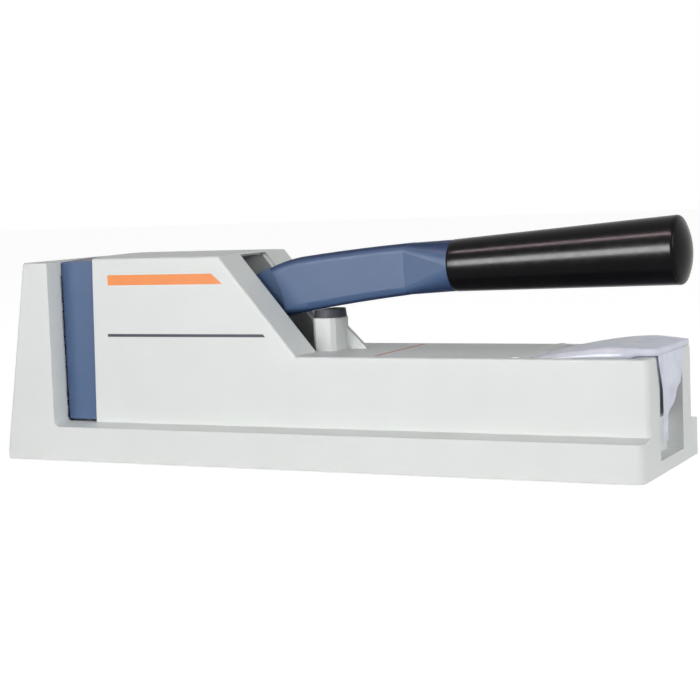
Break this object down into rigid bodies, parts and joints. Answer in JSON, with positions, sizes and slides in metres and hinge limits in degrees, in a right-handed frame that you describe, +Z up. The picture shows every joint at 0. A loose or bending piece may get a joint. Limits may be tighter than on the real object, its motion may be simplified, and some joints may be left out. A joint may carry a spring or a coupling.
{
  "type": "lever pill crusher",
  "caption": "Table-top lever pill crusher: slotted tower, leaning end column, sliding crushing jaw driven by a cam, long gripped lever, and a pouch tray in the low end.",
  "frame": {"origin": "on the table, at the bottom centre of the whole crusher's bounding box", "axes": "+X from the end column towards the end of the grip, +Y from the side with the stripe to the back, +Z up"},
  "size_m": [0.34, 0.0886, 0.1124],
  "materials": {
    "light_plastic": "fine satin moulded plastic, off-white",
    "plate_plastic": "plain moulded plastic, dark grey",
    "foot_rubber": "matt black rubber",
    "bumper_rubber": "matt dark grey rubber",
    "screw_steel": "zinc-plated steel",
    "frame_steel": "bent sheet steel, dull zinc",
    "plate_steel": "ground stainless steel",
    "ground_steel": "ground steel",
    "spring_steel": "spring wire",
    "block_aluminium": "milled aluminium",
    "bronze": "sintered bronze",
    "blue_paint": "slate blue satin paint",
    "black_plastic": "black gloss plastic",
    "clear_film": "thin clear plastic film, faint violet"
  },
  "bodies": {
    "stand": {"base_tray": "light_plastic", "bottom_plate": "plate_plastic", "feet": "foot_rubber", "bottom_screws": "screw_steel", "upper_housing": "light_plastic", "housing_screws": "screw_steel", "bumper": "bumper_rubber", "frame": "frame_steel", "frame_bolts": "screw_steel", "frame_nuts": "screw_steel", "anvil_plate": "plate_steel", "anvil_screws": "screw_steel", "pivot_pin": "ground_steel", "pivot_spacers": "ground_steel", "pivot_clips": "ground_steel", "guide_block": "block_aluminium", "guide_bushes": "bronze", "pouch_stack": "clear_film", "top_pouch": "clear_film"},
    "sliding_jaw": {"jaw": "blue_paint", "jaw_plate": "plate_steel", "jaw_screws": "screw_steel", "ram": "ground_steel", "roller_pin": "ground_steel", "guide_rods": "ground_steel", "rod_collars": "ground_steel", "return_springs": "spring_steel"},
    "cam_wheel": {"roller": "ground_steel"},
    "lever": {"lever_arm": "blue_paint", "grip": "black_plastic", "cam": "ground_steel", "cam_pins": "ground_steel", "hub_bushes": "bronze"}
  },
  "joints": [
    {"name": "lever_turn", "type": "hinge", "parent": "stand", "child": "lever", "pos_m": [-0.056, 0, 0.0724], "axis": [0, -1, 0], "range_deg": [0, 23]},
    {"name": "jaw_slide", "type": "slide", "parent": "stand", "child": "sliding_jaw", "axis": [1, 0, 0], "range_m": [0, 0.008], "deforming": ["return_springs"]},
    {"name": "roller_spin", "type": "hinge", "parent": "sliding_jaw", "child": "cam_wheel", "pos_m": [-0.086, 0, 0.0724], "axis": [0, 1, 0], "continuous": true}
  ],
  "couplings": [
    {"joint": "jaw_slide", "follows": "lever_turn", "m_per_rad": 0.019928}
  ]
}
